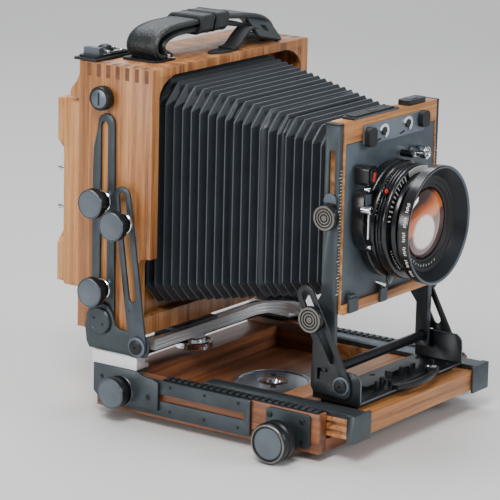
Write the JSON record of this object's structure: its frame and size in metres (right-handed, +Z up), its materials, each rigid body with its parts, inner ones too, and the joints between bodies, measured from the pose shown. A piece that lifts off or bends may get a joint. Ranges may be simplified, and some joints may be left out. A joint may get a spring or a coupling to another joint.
{
  "type": "folding field camera",
  "caption": "Folding wooden sheet-film view camera with pleated bellows, lens and shutter, tilting standards and geared focusing bed.",
  "frame": {"origin": "centre of the bed on the tripod plate's underside, which is the face the camera stands on", "axes": "-Y is the way the lens looks, +Z up from the tripod plate, +X to the right of someone who faces the lens"},
  "size_m": [0.212, 0.2269, 0.2409],
  "materials": {
    "oiled_wood": "oiled satin",
    "grey_metal": "fine satin",
    "bright_metal": "satin",
    "lens_black": "semi-gloss",
    "black_leather": "matte",
    "coated_glass": "polished, coated",
    "frosted_glass": "ground"
  },
  "bodies": {
    "bed": {"base_board": "oiled_wood", "tripod_plate": "bright_metal", "rail_left": "oiled_wood", "rail_right": "oiled_wood", "side_track_left": "grey_metal", "side_track_right": "grey_metal"},
    "focus_shaft": {"focus_shaft": "bright_metal", "focus_knob_left": "grey_metal", "focus_knob_right": "grey_metal"},
    "sliding_bed": {"sliding_bed": "oiled_wood", "bed_cap_left": "grey_metal", "bed_cap_right": "grey_metal", "focus_rack": "bright_metal"},
    "front_base": {"front_base": "grey_metal"},
    "swing_lever": {"swing_lever": "grey_metal"},
    "front_posts": {"front_post_left": "grey_metal", "front_post_right": "grey_metal", "cross_tube": "grey_metal"},
    "lens_standard": {"lens_frame": "oiled_wood", "lens_board": "grey_metal", "shutter_body": "lens_black", "lens_barrel": "lens_black", "front_glass": "coated_glass", "rear_barrel": "lens_black"},
    "board_latch": {"board_latch": "bright_metal"},
    "speed_ring": {"speed_ring": "lens_black"},
    "aperture_lever": {"aperture_lever": "lens_black"},
    "cocking_lever": {"cocking_lever": "lens_black"},
    "rear_carriage": {"foot_bracket_left": "grey_metal", "foot_bracket_right": "grey_metal", "rail_block_left": "bright_metal", "rail_block_right": "bright_metal", "rear_bracket_left": "grey_metal", "rear_bracket_right": "grey_metal", "cross_rail": "bright_metal"},
    "rear_standard": {"rear_frame": "oiled_wood", "rear_arm_left": "grey_metal", "rear_arm_right": "grey_metal", "bellows": "black_leather", "strap": "black_leather"},
    "slide_lock": {"slide_lock": "grey_metal"},
    "camera_back": {"back_panel": "oiled_wood"},
    "glass_carrier": {"glass_frame": "oiled_wood", "ground_glass": "frosted_glass"},
    "front_strut_left": {"front_strut_left": "grey_metal"},
    "tilt_knob_left": {"tilt_knob_left": "grey_metal"},
    "rise_knob_left": {"rise_knob_left": "grey_metal"},
    "rear_strut_left": {"rear_strut_left": "grey_metal"},
    "lock_knob_left": {"lock_knob_left": "grey_metal"},
    "arm_knob_left": {"arm_knob_left": "grey_metal"},
    "foot_knob_left": {"foot_knob_left": "grey_metal"},
    "strut_knob_left": {"strut_knob_left": "grey_metal"},
    "front_strut_right": {"front_strut_right": "grey_metal"},
    "tilt_knob_right": {"tilt_knob_right": "grey_metal"},
    "rise_knob_right": {"rise_knob_right": "grey_metal"},
    "rear_strut_right": {"rear_strut_right": "grey_metal"},
    "lock_knob_right": {"lock_knob_right": "grey_metal"},
    "arm_knob_right": {"arm_knob_right": "grey_metal"},
    "foot_knob_right": {"foot_knob_right": "grey_metal"},
    "strut_knob_right": {"strut_knob_right": "grey_metal"}
  },
  "joints": [
    {"name": "focus_turn", "type": "hinge", "parent": "bed", "child": "focus_shaft", "pos_m": [0, -0.0604, 0.013], "axis": [1, 0, 0], "range_deg": [-173, 717]},
    {"name": "focus_slide", "type": "slide", "parent": "bed", "child": "sliding_bed", "axis": [0, -1, 0], "range_m": [-0.012, 0.05], "deforming": ["bellows"]},
    {"name": "front_swing", "type": "hinge", "parent": "sliding_bed", "child": "front_base", "pos_m": [0, -0.076, 0.0308], "axis": [0, 0, 1], "range_deg": [-8, 8]},
    {"name": "swing_lever_turn", "type": "hinge", "parent": "front_base", "child": "swing_lever", "pos_m": [0.027, -0.092, 0.0324], "axis": [0, 0, 1], "range_deg": [-5, 40]},
    {"name": "front_tilt", "type": "hinge", "parent": "front_base", "child": "front_posts", "pos_m": [0, -0.0665, 0.0464], "axis": [1, 0, 0], "range_deg": [-5, 12]},
    {"name": "front_rise", "type": "slide", "parent": "front_posts", "child": "lens_standard", "axis": [0, 0, 1], "range_m": [-0.004, 0.034]},
    {"name": "board_latch_slide", "type": "slide", "parent": "lens_standard", "child": "board_latch", "axis": [0, 0, 1], "range_m": [0, 0.006]},
    {"name": "speed_ring_turn", "type": "hinge", "parent": "lens_standard", "child": "speed_ring", "pos_m": [0, -0.09, 0.1322], "axis": [0, 1, 0], "range_deg": [-120, 120]},
    {"name": "aperture_turn", "type": "hinge", "parent": "lens_standard", "child": "aperture_lever", "pos_m": [0, -0.085, 0.1322], "axis": [0, 1, 0], "range_deg": [-35, 35]},
    {"name": "cocking_turn", "type": "hinge", "parent": "lens_standard", "child": "cocking_lever", "pos_m": [0, -0.087, 0.1322], "axis": [0, 1, 0], "range_deg": [0, 40]},
    {"name": "rear_slide", "type": "slide", "parent": "bed", "child": "rear_carriage", "axis": [0, -1, 0], "range_m": [0, 0.02]},
    {"name": "rear_tilt", "type": "hinge", "parent": "rear_carriage", "child": "rear_standard", "pos_m": [0, 0.078, 0.0599], "axis": [1, 0, 0], "range_deg": [-18, 6]},
    {"name": "slide_lock_move", "type": "slide", "parent": "rear_standard", "child": "slide_lock", "axis": [1, 0, 0], "range_m": [0, 0.006]},
    {"name": "back_release", "type": "slide", "parent": "rear_standard", "child": "camera_back", "axis": [0, 1, 0], "range_m": [0, 0.04]},
    {"name": "glass_spring", "type": "slide", "parent": "camera_back", "child": "glass_carrier", "axis": [0, 1, 0], "range_m": [0, 0.016], "stiffness_N_per_m": 300},
    {"name": "front_strut_left_turn", "type": "hinge", "parent": "front_base", "child": "front_strut_left", "pos_m": [-0.0588, -0.0815, 0.0419], "axis": [1, 0, 0], "range_deg": [-3.8, 9.1]},
    {"name": "tilt_knob_left_turn", "type": "hinge", "parent": "front_posts", "child": "tilt_knob_left", "pos_m": [-0.0606, -0.0612, 0.0798], "axis": [-1, 0, 0], "range_deg": [0, 180]},
    {"name": "rise_knob_left_turn", "type": "hinge", "parent": "lens_standard", "child": "rise_knob_left", "pos_m": [-0.055, -0.0666, 0.1412], "axis": [-1, 0, 0], "range_deg": [0, 180]},
    {"name": "rear_strut_left_turn", "type": "hinge", "parent": "rear_carriage", "child": "rear_strut_left", "pos_m": [-0.087, 0.0483, 0.0486], "axis": [1, 0, 0], "range_deg": [-14.2, 4.8]},
    {"name": "lock_knob_left_turn", "type": "hinge", "parent": "rear_carriage", "child": "lock_knob_left", "pos_m": [-0.0883, 0.0605, 0.0192], "axis": [-1, 0, 0], "range_deg": [0, 180]},
    {"name": "arm_knob_left_turn", "type": "hinge", "parent": "rear_standard", "child": "arm_knob_left", "pos_m": [-0.0846, 0.078, 0.1344], "axis": [-1, 0, 0], "range_deg": [0, 180]},
    {"name": "foot_knob_left_turn", "type": "hinge", "parent": "rear_standard", "child": "foot_knob_left", "pos_m": [-0.0846, 0.078, 0.0795], "axis": [-1, 0, 0], "range_deg": [0, 180]},
    {"name": "strut_knob_left_turn", "type": "hinge", "parent": "rear_standard", "child": "strut_knob_left", "pos_m": [-0.0886, 0.059, 0.124], "axis": [-1, 0, 0], "range_deg": [0, 180]},
    {"name": "front_strut_right_turn", "type": "hinge", "parent": "front_base", "child": "front_strut_right", "pos_m": [0.0588, -0.0815, 0.0419], "axis": [1, 0, 0], "range_deg": [-3.8, 9.1]},
    {"name": "tilt_knob_right_turn", "type": "hinge", "parent": "front_posts", "child": "tilt_knob_right", "pos_m": [0.0606, -0.0612, 0.0798], "axis": [1, 0, 0], "range_deg": [0, 180]},
    {"name": "rise_knob_right_turn", "type": "hinge", "parent": "lens_standard", "child": "rise_knob_right", "pos_m": [0.055, -0.0666, 0.1412], "axis": [1, 0, 0], "range_deg": [0, 180]},
    {"name": "rear_strut_right_turn", "type": "hinge", "parent": "rear_carriage", "child": "rear_strut_right", "pos_m": [0.087, 0.0483, 0.0486], "axis": [1, 0, 0], "range_deg": [-14.2, 4.8]},
    {"name": "lock_knob_right_turn", "type": "hinge", "parent": "rear_carriage", "child": "lock_knob_right", "pos_m": [0.0883, 0.0605, 0.0192], "axis": [1, 0, 0], "range_deg": [0, 180]},
    {"name": "arm_knob_right_turn", "type": "hinge", "parent": "rear_standard", "child": "arm_knob_right", "pos_m": [0.0846, 0.078, 0.1344], "axis": [1, 0, 0], "range_deg": [0, 180]},
    {"name": "foot_knob_right_turn", "type": "hinge", "parent": "rear_standard", "child": "foot_knob_right", "pos_m": [0.0846, 0.078, 0.0795], "axis": [1, 0, 0], "range_deg": [0, 180]},
    {"name": "strut_knob_right_turn", "type": "hinge", "parent": "rear_standard", "child": "strut_knob_right", "pos_m": [0.0886, 0.059, 0.124], "axis": [1, 0, 0], "range_deg": [0, 180]}
  ],
  "couplings": [
    {"joint": "focus_turn", "follows": "focus_slide", "rad_per_m": 250},
    {"joint": "front_strut_left_turn", "follows": "front_tilt", "ratio": 0.752},
    {"joint": "rear_strut_left_turn", "follows": "rear_tilt", "ratio": 0.785},
    {"joint": "front_strut_right_turn", "follows": "front_tilt", "ratio": 0.752},
    {"joint": "rear_strut_right_turn", "follows": "rear_tilt", "ratio": 0.785}
  ]
}
